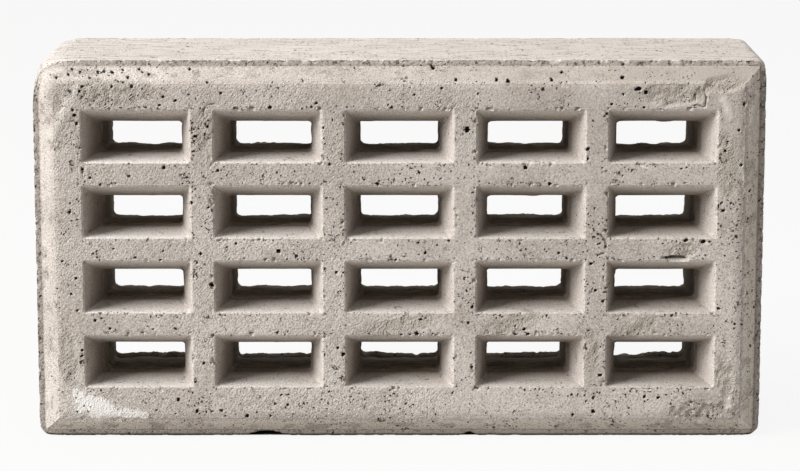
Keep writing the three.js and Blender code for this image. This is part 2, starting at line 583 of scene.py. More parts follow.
# behind the throat the core left a rougher wall, ribbed along the edge of the throat
channelWall = {
    "from": 6.0,  # full this far behind the throat
    "ribs": 4.4,
    "ribDepth": 0.9,
    "alongRib": 0.25,
    "ribFade": 0.8,  # the share that is gone from the walls and ceiling between the two depths below
    "fadeFrom": 14,
    "fadeTo": 50,
    "lumps": 8.0,
    "lumpDepth": 1.0,
}
deep = np.where(inChannel, ramp(y, throatY, throatY + channelWall["from"]), 0.0)
ribsGone = ramp(y, throatY + channelWall["fadeFrom"], throatY + channelWall["fadeTo"]) * (normal[:, 2] < tilted)
ribbing = deep * (1 - channelWall["ribFade"] * ribsGone)
ribbed = place * np.array([channelWall["alongRib"], 1.0, channelWall["alongRib"]])
inward += ribbing * channelWall["ribDepth"] * rough(ribbed, channelWall["ribs"], 71, 3)
inward += deep * channelWall["lumpDepth"] * rough(place, channelWall["lumps"], 75, 3)

# painted shade darkens an opening from one depth to another, sooner on its left wall and its ceiling, which face
# away from the light, and all through the channel behind
depthShade = {"from": 20.0, "full": 38.0, "leftWall": 15.0, "ceiling": 15.0, "ragged": 2.5, "raggedSize": 9.0}
intoOpening = y - block["front"] + depthShade["leftWall"] * toRight
intoOpening += depthShade["ragged"] * rough(place, depthShade["raggedSize"], 331, 3) + depthShade["ceiling"] * facingDown
openingShade = onFlare * ramp(intoOpening, depthShade["from"], depthShade["full"]) + inChannel

# places where the face is broken, worn hollow or pitted: across, up, half length, half height, depth,
# lean in degrees, roughness of the break, and the painted shade where it is a hole
hollows = {
    "upperRightSpall": (172, 193.0, 13, 5.0, 1.9, 4, 0.1, 0),
    "upperRightScar": (144, 188, 21, 7.4, 1.0, 0, 0.6, 0),
    "topLeftScar": (-152, 189, 32, 9.0, 0.1, 0, 0.7, 0),
    "ribOneScar": (-105, 168, 7.0, 14, 0.1, 0, 0.8, 0),
    "lowerRightScar": (162, 15.5, 24, 6.4, 0.7, 4, 1.4, 0),
    "rightOfRowFour": (175.5, 34, 6.5, 17, 0.4, 10, 1.1, 0),
    "aboveRowFourLeft": (57, 61.7, 23, 6.5, 0.12, 22, 0.65, 0),
    "aboveRowFourRight": (124, 60.6, 17, 6.5, 0.12, 25, 0.65, 0),
    "ribFiveFoot": (102, 49, 6, 15, 0.1, 8, 0.55, 0),
    "leftOfRowFour": (-178, 44, 6, 19, 0.15, 4, 0.6, 0),
    "belowRowThree": (-3, 62, 26, 6, 0.08, 12, 0.5, 0),
    "rightMargin": (174, 150, 7, 22, 0.1, 0, 0.4, 0),
    "slotChip": (147.5, 99.2, 7.4, 1.9, 3.6, -2, 0, 0.46),
    "slotScar": (151, 103.5, 11.0, 4.5, 0.6, 10, 0.9, 0),
    "slotPit": (162, 108.5, 1.8, 1.3, 1.6, 10, 0, 1.0),
    "besideSlotPit": (153, 109.3, 1.6, 0.9, 1.4, 15, 0, 1.0),
    "spallPitLeft": (126.3, 190.6, 2.2, 1.3, 2.2, 10, 0, 1.0),
    "spallPitRight": (130.4, 188.8, 1.2, 1.5, 1.8, 0, 0, 1.0),
    "cornerPit": (183, 182.5, 1.6, 1.6, 2.5, 0, 0, 1.0),
    "upperLeftWorn": (-182, 184, 5, 9, 1.0, 18, 0.4, 0),
    "upperLeftRing": (-181, 160, 5, 3.6, 0.8, 0, 0.4, 0),
    "rowThreeCorner": (-155, 83.5, 3.0, 2.2, 1.2, 40, 0.4, 0),
}
hollowEdge = {"reach": 1.8, "ragged": 0.30, "raggedSize": 5.0, "fade": 0.45}
hollowFloor = {"mean": 0.85, "swing": 0.35, "size": 2.6, "roughSize": 2.9}
# mortar smeared proud of the face: from, to, half width and height
smears = {
    "upperLeft": ((-171, 189), (-184, 166), 5.0, 0.45),
    "upperLeftDab": ((-182, 161), (-179, 160), 2.4, 0.6),
    "upperRight": ((172, 184), (176, 176), 4.0, 0.5),
    "rightDab": ((182, 150), (184, 141), 2.6, 0.4),
    "chamferDab": ((190, 186), (187, 171), 2.4, 0.5),
    "lowerRight": ((181, 34), (177, 18), 3.0, 0.5),
    "lowerRightDab": ((157, 19), (158.5, 18.5), 1.8, 0.6),
}
smearEdge = {"reach": 1.6, "ragged": 0.35, "raggedSize": 4.0}
slack = 0.5
front = y < ledgeY + slack
broken, pitShade, smeared = np.zeros((3, len(place)))
softCorner = {"at": (block["left"], ledgeY, block["top"]), "reach": 26.0, "full": 0.6, "width": 3.5, "depth": 1.6}
toCorner = np.linalg.norm(place - np.array(softCorner["at"]), axis=1)
cornerShare = ramp(1 - toCorner / softCorner["reach"], 0.0, softCorner["full"])
inward += softCorner["depth"] * cornerShare * bell(edgeDistance["side"], softCorner["width"])
for k, (atX, atZ, halfX, halfZ, depth, lean, roughness, paintedShade) in enumerate(hollows.values()):
    along, across = turned(x - atX, z - atZ, math.radians(lean))
    gap = np.hypot(along / halfX, across / halfZ)
    close = front & (gap < hollowEdge["reach"])
    bowl = ramp(inside(gap, close, hollowEdge, 101 + k, 3), 0.0, hollowEdge["fade"])
    uneven = hollowFloor["mean"] + hollowFloor["swing"] * rough(place[close], hollowFloor["size"], 121 + k, 2)
    inward[close] += depth * bowl * uneven
    if paintedShade:
        keepMost(pitShade, close, paintedShade * bowl)
    else:
        keepMost(broken, close, bowl)
        inward[close] += roughness * bowl * rough(place[close], hollowFloor["roughSize"], 221 + k, 2)
for k, (start, end, half, height) in enumerate(smears.values()):
    gap = lineDistance(x, z, start, end)[0] / half
    close = front & (gap < smearEdge["reach"])
    dab = ramp(inside(gap, close, smearEdge, 141 + k, 3), 0.0, 1.0)
    inward[close] -= height * dab
    keepMost(smeared, close, dab)

# cracks drawn as lines on the face, cut in and darkened with painted shade
cracks = {
    "spallCurve": [(159.9, 193.0), (156.4, 187.4), (157.3, 182.4), (161.2, 180.4)],
    "spallLine": [(161.4, 190.0), (162.4, 186.0), (161.8, 181.0)],
    "ribCurve": [(-97.8, 182.6), (-101.5, 182.2), (-103.6, 179.2), (-103.2, 176.6)],
    "firstMouth": [(-166.5, 188.0), (-163.5, 187.4), (-160.4, 185.8)],
    "leftOfMouth": [(-174.8, 173.0), (-172.6, 173.6), (-170.8, 172.4)],
    "belowFirst": [(-167.4, 148.8), (-168.2, 146.2), (-167.6, 143.6)],
    "rowTwoCorner": [(107.5, 112.2), (109.6, 109.6), (110.6, 107.0)],
    "ribFive": [(106.2, 101.2), (109.6, 102.6)],
    "ribFiveLow": [(117.0, 88.2), (113.0, 84.6), (110.2, 83.0)],
}
crack = {"half": 0.8, "depth": 0.9, "paintedShade": 0.45, "fade": 0.8, "breaks": 3.0, "open": (-0.5, 0.1)}
for line in cracks.values():
    for start, end in zip(line, line[1:]):
        away = lineDistance(x, z, start, end)[0] / crack["half"]
        close = front & (away < 1)
        opened = ramp(rough(place[close], crack["breaks"], 241, 2), *crack["open"])
        cut = ramp(1 - away[close], 0.0, crack["fade"]) * opened
        inward[close] += crack["depth"] * cut
        keepMost(pitShade, close, crack["paintedShade"] * cut)

# air holes big enough to have a shape of their own; the smaller ones are in the material
airHoles = {
    "count": 6,
    "smallest": 0.7,
    "largest": 1.0,
    "mostlySmall": 2.2,  # a power: the higher, the fewer large ones
    "depth": 1.3,
    "scale": 0.86,
    "squash": (0.6, 0.95),
    "search": (1.8, 0.6),  # times the radius, and millimetres more
    "searchSteps": 4,
    "seed": 20,
}
placedHoles = {  # across, up and radius
    "topChamferLeft": [
        (-175, 198, 0.9), (-169, 199, 1.0), (-138, 200.5, 1.0), (-111, 200.5, 1.0), (-132.5, 198, 0.9),
        (-173.5, 200.5, 0.8), (-136, 199, 0.8), (-51, 195, 0.8), (-159.5, 199, 1.0), (-152, 199, 1.1),
        (-146.5, 200.3, 0.9), (-148.5, 194.7, 0.8), (-146, 194.4, 0.8), (-143.5, 196.6, 1.0),
        (-101.5, 194.3, 0.9), (-181.5, 196.6, 0.9),
    ],
    "topChamferRight": [
        (18, 201, 1.1), (30, 195.5, 1.0), (51.5, 195.5, 1.2), (57.5, 195, 1.3), (80.5, 195.5, 1.2),
        (86, 199, 1.0), (118, 196.5, 1.3),
    ],
    "upperLeft": [
        (-167.5, 192, 1.1), (-169, 189.5, 1.0), (-152, 192, 1.0), (-141.5, 192, 1.3), (-173, 179.5, 1.1),
    ],
    "aboveFirstRow": [
        (-118.5, 184.5, 1.1), (-125, 186.5, 1.0), (-127, 182, 0.9), (-94.5, 188.5, 1.1), (-68.5, 180.5, 1.3),
        (-44, 183, 1.0), (8, 187.5, 0.9), (22.5, 191, 0.9), (112.5, 182.5, 1.0), (118.5, 188, 0.9),
        (129.5, 180.5, 0.8),
    ],
    "firstRib": [
        (-108, 165.5, 1.3), (-101.5, 170.5, 1.1), (-111, 129.5, 1.4), (-101.5, 127, 1.0), (-106, 102, 1.0),
    ],
    "firstRibFoot": [(-108, 97, 0.9), (-100.3, 85, 1.6), (-105, 42, 1.1)],
    "leftMargin": [
        (-172, 176.5, 1.2), (-171, 172, 1.0), (-175.5, 124.5, 1.1), (-175, 129.5, 0.8), (-171.5, 120.5, 0.8),
        (-173, 88.5, 1.0), (-183, 83, 0.9), (-175.5, 80, 0.8), (-180, 98, 0.9), (-170.3, 49.2, 1.0),
        (-170.6, 46, 1.0),
    ],
    "otherRibs": [
        (-40.5, 170, 1.1), (36, 169, 1.8), (100, 158.5, 1.2), (110, 177, 1.0), (104, 126.5, 0.8),
        (28.5, 121.5, 1.0), (35, 89, 0.9), (-33.5, 92, 1.0), (105, 82, 1.1), (109, 76, 1.1), (110, 81, 1.0),
        (102.5, 96.5, 1.1), (-33, 50.5, 1.0), (-30, 47, 1.3), (39, 73, 1.2), (37, 64.5, 1.0), (39, 40, 0.9),
        (29, 44.5, 0.9), (108, 35.5, 1.4),
    ],
    "belowFirstRow": [
        (-168.5, 147.5, 1.1), (-159, 139, 1.0), (-164.5, 143, 0.9), (-143.5, 150.5, 0.8), (-125, 148.5, 1.2),
        (-96.5, 147, 1.1), (-37, 150.5, 0.9), (-18.5, 142, 0.9), (-11.5, 139.5, 1.2), (10.5, 146, 1.2),
        (67, 148.5, 1.4), (80, 139.5, 1.2), (118.5, 144, 0.8), (150, 148, 0.9),
    ],
    "belowSecondRow": [
        (-152.5, 104.5, 0.9), (-141, 99.5, 1.0), (-160, 97.5, 1.0), (-127.5, 97.5, 1.2), (-126, 103.5, 0.8),
        (-87, 107.5, 0.9), (-64.5, 103.5, 1.5), (-71.5, 98.5, 0.9), (-51.5, 103, 0.7), (10, 108, 0.8),
        (14, 102.5, 1.1), (26.5, 109, 0.9), (-2, 97.8, 1.2), (85, 102.5, 0.9), (89.5, 99, 0.9),
    ],
    "belowThirdRow": [
        (-163, 65.5, 1.1), (-155, 61, 0.9), (-132, 60.5, 0.9), (-120, 61, 1.1), (-172.5, 71, 1.0),
        (1, 57.5, 0.9), (6, 57, 1.2), (9.5, 58, 1.5), (18, 57.5, 0.9), (11.5, 66, 1.1), (62.5, 57, 1.3),
        (69, 57.5, 1.2), (101.5, 60, 0.8),
    ],
    "foot": [
        (-119, 22, 1.1), (-131, 16, 0.9), (-109, 15.5, 1.3), (-96, 16, 1.2), (-82, 12.8, 1.3),
        (-69.5, 12.8, 0.9), (-67, 19.5, 1.0), (-60, 19, 1.0), (-104, 15, 0.8), (-101, 15.5, 0.8),
        (-63.5, 24.5, 1.0), (93.5, 13.5, 1.0), (104.5, 15.5, 1.4), (100.5, 21, 0.8), (132, 23.5, 1.1),
        (139.5, 23, 1.1), (146.5, 19.5, 0.8), (159, 30, 1.1),
    ],
    "rightMargin": [
        (174, 162.5, 0.9), (173, 157.5, 1.0), (180, 168.5, 0.9), (181.5, 150, 1.0), (171.5, 129.5, 1.1),
        (176.5, 129.5, 0.9), (172.5, 125.5, 1.1), (171, 72, 1.2),
    ],
}
hole = np.zeros(len(place))
facePoints = np.nonzero(onFace)[0]
tree = kdtree.KDTree(len(facePoints))
for index in facePoints:
    tree.insert(place[index], int(index))
tree.balance()
draw = np.random.default_rng(airHoles["seed"])
grown = airHoles["largest"] - airHoles["smallest"]
drawn = [
    (place[centre][0], place[centre][2], airHoles["smallest"] + grown * draw.random() ** airHoles["mostlySmall"])
    for centre in draw.choice(facePoints, airHoles["count"], replace=False)
]
placed = [(across, up, airHoles["scale"] * radius) for spots in placedHoles.values() for across, up, radius in spots]
for across, up, radius in drawn + placed:
    nearest = (across, block["front"], up)
    for _ in range(airHoles["searchSteps"]):  # on a slope the surface lies deeper, so the search steps onto it
        nearest = tree.find((across, nearest[1], up))[0]
    turn, squash = draw.uniform(0, math.pi), draw.uniform(*airHoles["squash"])
    for _, index, _ in tree.find_range(nearest, radius * airHoles["search"][0] + airHoles["search"][1]):
        along, sideways = turned(place[index][0] - across, place[index][2] - up, turn)
        s = math.hypot(along, sideways / squash) / radius
        if s < 1:
            hole[index] = max(hole[index], radius * airHoles["depth"] * math.sqrt(1 - s * s))
inward += hole

ceiling = (0.1, 0.6)  # parts of a normal that faces down
upperEdge = {"height": (6.0, 12.0), "width": 2.5}  # above an opening's middle, and away from its edge
sag = ramp(y, block["front"], throatY) * ramp(-normal[:, 2], *ceiling) * (onFlare | inChannel)
overMouth = (onFace | onFlare) * ramp(inZ, *upperEdge["height"]) * bell(edgeDistance["mouth"], upperEdge["width"])
place = place - normal * inward[:, None]
place[:, 2] += lipRise - opening["ceilingSag"] * sag + opening["edgeLift"] * overMouth

# the corners of the block are worn round: where, how far the wear reaches and how far the corner has gone
left, right, back, top = block["left"], block["right"], block["back"], block["top"]
shoulder = {"slide": 2.5, "width": 8.5}  # the whole upper left edge, from front to back
slide = shoulder["slide"] * bell(np.hypot(place[:, 0] - left, place[:, 2] - top), shoulder["width"])
place[:, 0] += slide
place[:, 2] -= slide
cornerWear = {
    "frontTopLeft": {"at": (left, ledgeY, top), "reach": 20.0, "gone": (2.2, 1.5, -2.6)},
    "frontTopRight": {"at": (right, ledgeY, top), "reach": 10.0, "gone": (-1.4, 0.8, -1.4)},
    "backTopLeft": {"at": (left, back, top), "reach": 15.0, "gone": (3.0, -2.4, -1.6)},
    "backTopRight": {"at": (right, back, top), "reach": 12.0, "gone": (-2.6, -2.4, -1.6)},
    "frontBottomLeft": {"at": (left, ledgeY, 0.0), "reach": 9.0, "gone": (1.4, 0.8, 1.4)},
    "frontBottomRight": {"at": (right, ledgeY, 0.0), "reach": 9.0, "gone": (-1.4, 0.8, 1.4)},
}
wear = {"power": 1.7, "ragged": 0.2, "raggedSize": 6.0}
for k, corner in enumerate(cornerWear.values()):
    reach = 1 - np.linalg.norm(place - np.array(corner["at"]), axis=1) / corner["reach"]
    close = reach > 0
    uneven = 1 + wear["ragged"] * rough(place[close], wear["raggedSize"], 201 + k, 2)
    amount = reach[close] ** wear["power"] * uneven
    place[close] += amount[:, None] * np.array(corner["gone"])

# bites out of the lower edge: middle, half length, height and depth
footBites = {"left": (-71.5, 12.5, 2.3, 4.5), "middle": (38.0, 5.0, 1.8, 2.5)}
biteEdge = {"reach": 1.5, "ragged": 0.2, "raggedSize": 4.0, "full": 0.8, "soft": 0.5}
for k, (middle, half, height, deepest) in enumerate(footBites.values()):
    gap = np.abs(x - middle) / half
    low = front & (z < biteEdge["reach"] * height) & (gap < 1)
    arch = height * ramp(inside(gap, low, biteEdge, 281 + k, 2), 0.0, biteEdge["full"])
    bite = ramp(arch - z[low], -biteEdge["soft"], biteEdge["soft"])
    place[low, 1] += deepest * bite
    # the bite is darkened with painted shade, as its shadow
    keepMost(pitShade, low, bite)
bedGap = 0.02  # the bed stands on the ground, not in it
place[:, 2] = np.maximum(place[:, 2], bedGap)
print("relief done")

# what the material needs to know of each point
level = (0.75, 0.95)  # parts of a normal that faces up
facingUp = ramp(normal[:, 2], *level)
topBand = 8.0  # the trowelled top is this close to the block's full height
topFinish = facingUp * (y > ledgeY - slack) * (z > top - topBand)
limeBand = [  # across, up and half width along the patch
    (-174, 25.5, 3.4), (-170, 20, 6.6), (-162, 16.5, 6.2), (-150, 13.8, 4.2), (-137, 13.5, 2.6),
]
limeEdge = {"rim": 1.08, "ragged": 0.75, "raggedSize": 3.2, "fade": 0.55}
fromLime = np.full(len(place), np.inf)
for (ax, az, halfA), (bx, bz, halfB) in zip(limeBand, limeBand[1:]):
    gap, t = lineDistance(x, z, (ax, az), (bx, bz))
    fromLime = np.minimum(fromLime, gap / (halfA + t * (halfB - halfA)))
limeReach = limeEdge["rim"] - fromLime + limeEdge["ragged"] * rough(place, limeEdge["raggedSize"], 163, 4)
stain = {"size": 3.6, "stretch": 0.6, "fade": 0.45}
stained = rough(place * np.array([stain["stretch"], 1.0, stain["stretch"]]), stain["size"], 321, 4)
ledges = {"worn": (8.0, 16.0), "left": 0.6, "wider": 1.3}  # none at the worn corner, and on the side ledges the painted shade is less dark on the left than on the shaded right
onLedge = onFace * toLedge * ramp(toCorner, *ledges["worn"])
sideLedges = ramp(np.abs(x), halfLength - ledges["wider"] * block["ledge"], halfLength - block["ledge"])
# darker on the top and the upward-facing chamfer, more so to the right, and on the face higher up
upwardDarkening = {"top": 0.2, "face": 0.33, "faceBand": (60.0, 190.0), "topBand": (-200.0, 200.0)}
darkerFacingUp = upwardDarkening["top"] * topFinish + chamfer * (normal[:, 2] > tilted)
darkerUpTheFace = upwardDarkening["face"] * onFace * (1 - chamfer) * ramp(z, *upwardDarkening["faceBand"])
floorLightShares = {"middle": 0.36, "perRow": 0.18, "toRight": -0.003}  # painted light on the floors, most at the upper left
floorPaintedLight = np.clip(floorLightShares["middle"] + floorLightShares["perRow"] * rowsUp + floorLightShares["toRight"] * x, 0, 1)
# what takes the painted light off a flare: facing right, facing left, and being a floor at the lower right
darker = {"rightFacing": 0.2, "leftFacing": 0.5, "lowerRight": 0.8, "across": (70.0, 150.0), "rowsDown": (-1.0, 1.5)}
lowerRight = darker["lowerRight"] * facingUp * ramp(x, *darker["across"]) * ramp(-rowsUp, *darker["rowsDown"])
flarePaintedLight = ramp(tilted - normal[:, 0], 0.0, darker["rightFacing"])
flarePaintedLight = flarePaintedLight * (1 - darker["leftFacing"] * toLeft) * (1 - lowerRight)
smoothness = {"top": 0.2, "chamfer": 0.6, "flare": 0.6, "dustyFloor": 0.45}
smoothChamfer = smoothness["chamfer"] * (chamfer - shaded) * (1 - porous)
smoothFlare = smoothness["flare"] * onFlare * (1 - smoothness["dustyFloor"] * facingUp)
edgeBand = {"sillPaintedShade": 1.1, "sillFacing": (0.2, 0.6), "nearMouth": 2.2, "foot": 3.6, "footFade": 3.0}
fullShadeDepth = 0.6  # an air hole this deep gets the full painted shade
lowerChamferLight = 0.6  # the lower chamfer has this much of the right one's warm tone and painted light
marks = {
    "stain": chamfer * ramp(stained, 0.0, stain["fade"]),
    "holeShade": np.maximum(np.clip(hole / fullShadeDepth, 0, 1), pitShade),
    "deep": deep,
    "ribbing": ribbing,
    "openingShade": openingShade,
    "coarse": coarse,
    "darkerUpwards": darkerFacingUp * ramp(x, *upwardDarkening["topBand"]) + darkerUpTheFace,
    "shadedChamferLight": chamfer * ((normal[:, 0] > tilted) + lowerChamferLight * (normal[:, 2] < -tilted)),
    # painted light on the flares, kept off their shaded left walls and the lower right floors
    "flare": onFlare * flarePaintedLight,
    "smooth": np.maximum(smoothness["top"] * topFinish, np.maximum(smoothChamfer, smoothFlare)),
    "porous": porous,
    "lip": lip,
    "lipShadowLine": lipShadowLine,
    # painted shade along the foot, ending in a painted contact shadow where it meets the ground
    "foot": front * ramp(edgeBand["foot"] - z, 0.0, edgeBand["footFade"]),
    "ledge": onLedge,
    "sideLedgeShade": onLedge * np.where(x > 0, 1.0, ledges["left"]) * sideLedges,
    # painted shade that dulls the light on each mouth's upward-facing lower arris
    "sillPaintedShade": bell(edgeDistance["mouth"], edgeBand["sillPaintedShade"]) * ramp(normal[:, 2], *edgeBand["sillFacing"]),
    "nearMouth": bell(edgeDistance["mouth"], edgeBand["nearMouth"]) * onFace,
    "broken": broken,
    "smeared": smeared,
    "topFinish": topFinish,
    "floorPaintedLight": facingUp * (onFlare | inChannel) * floorPaintedLight,
    "lime": ramp(limeReach, 0.0, limeEdge["fade"]) * front,
}


def put(name, data):
    made = bpy.data.objects.new(name, data)
    bpy.context.scene.collection.objects.link(made)
    return made


def makePiece(name):
    groups = faces[name]
    used = np.unique(np.concatenate([f.ravel() for f in groups]))
    renumber = np.full(len(place), -1)
    renumber[used] = np.arange(len(used))
    mesh = bpy.data.meshes.new(name)
    polygons = [row for f in groups for row in renumber[f].tolist()]
    mesh.from_pydata((place[used] * mm).tolist(), [], polygons)
    for mark, values in marks.items():
        layer = mesh.attributes.new(mark, "FLOAT", "POINT")
        layer.data.foreach_set("value", values[used].astype(np.float32))
    mesh.shade_smooth()
    sharpFrom = 32  # degrees between two faces
    mesh.set_sharp_from_angle(angle=math.radians(sharpFrom))
    piece = put(name, mesh)
    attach(piece, "root")
    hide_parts("vent_block")
    return piece


pieces = {name: makePiece(name) for name in faces}
print("pieces made")


def linear(hexColour):
    channels = [int(hexColour[i : i + 2], 16) / 255 for i in (1, 3, 5)]
    return tuple(c / 12.92 if c <= 0.04045 else ((c + 0.055) / 1.055) ** 2.4 for c in channels) + (1.0,)


def emptyTree(owner):
    owner.use_nodes = True
    owner.node_tree.nodes.clear()
    return owner.node_tree


def node(tree, kind, sockets, **settings):
    # adds a node with its settings; each socket takes a link from another node's output or a plain value
    made = tree.nodes.new("ShaderNode" + kind)
    for name, value in settings.items():
        setattr(made, name, value)
    for socket, value in sockets.items():
        if isinstance(value, bpy.types.NodeSocket):
            tree.links.new(value, made.inputs[socket])
        else:
            made.inputs[socket].default_value = value
    return made.outputs


# Cast concrete, dry-pressed in a steel mould: matt and sandy, warm light grey, with air holes,
# a smoother and paler trowelled top, and rougher walls where the core was drawn, made darker with painted shade.
concrete = {
    "paste": "#b1a89f",
    "palePaste": "#c9c1b9",
    "darkPaste": "#9b9188",
    "sandDark": "#5c534c",
    "sandPale": "#e3dcd6",
    "trowelled": "#d4cdc6",
    "trowelStreak": "#a8a198",
    # near black: painted shade in holes, pits, chips, cracks and bites, along the foot and before the lip; also the
    # nibbled ledge's dark specks
    "hole": "#1e1611",
    "channel": "#b1a392",
    "channelPale": "#d8cab8",
    # painted shade for the depths of the openings
    "depthShade": "#7d6f61",
    "brokenStone": "#a49b90",
    "smearedPaste": "#cec7be",
    "limeBloom": "#e9e6e1",
    "warmChamferLight": "#f3e6d8",
    "lipPaintedLight": "#d6cdc2",
    "footPaintedShade": "#857b71",
    "roughness": 0.94,
    "specular": 0.25,
    "noises": {  # size in millimetres, layers, weight of the finer ones, and how far it is bent
        "cloud": (46.0, 3.0, 0.5, 0.0),
        "patch": (9.0, 3.0, 0.55, 0.0),
        "sand": (0.84, 3.0, 0.7, 0.0),  # real sand is about half of this; drawn coarser so that it shows
        "grit": (2.5, 5.0, 0.72, 0.0),
        "grain": (0.95, 1.0, 0.5, 0.0),
        "crowding": (15.0, 2.0, 0.5, 0.0),
        "crooked": (1.9, 2.0, 0.5, 0.6),
        "group": (6.5, 4.0, 0.75, 0.0),
    },
    "pits": {"holes": (4.4, 1.0, 0.57), "pinholes": (1.7, 0.60, 0.36)},  # cell, largest radius, and how rare
    "pitRim": {"waver": 2.2, "waverSize": 1.3, "stretch": (1.25, 1.0, 0.88), "flank": 0.5},
    "pitsOnSmooth": 0.05,
    "crack": {"width": (0.02, 0.06), "groups": (0.615, 0.68)},  # limits on the noises crooked and group
    "ribs": {"size": 3.6, "along": 0.12, "layers": 4.0, "fine": 0.7},
    "streak": {"length": 15.0, "width": 2.8, "turn": math.radians(30), "layers": 3.0, "fine": 0.65},
    "scrape": {"length": 2.5, "width": 1.15, "depth": 0.36},
    "grainDepth": 0.62,
    "pitDepth": 1.0,
    "fineRelief": 0.34,  # share of the relief where the skin is fine, against 1 where it is coarse
    "smoothRelief": 0.25,
}


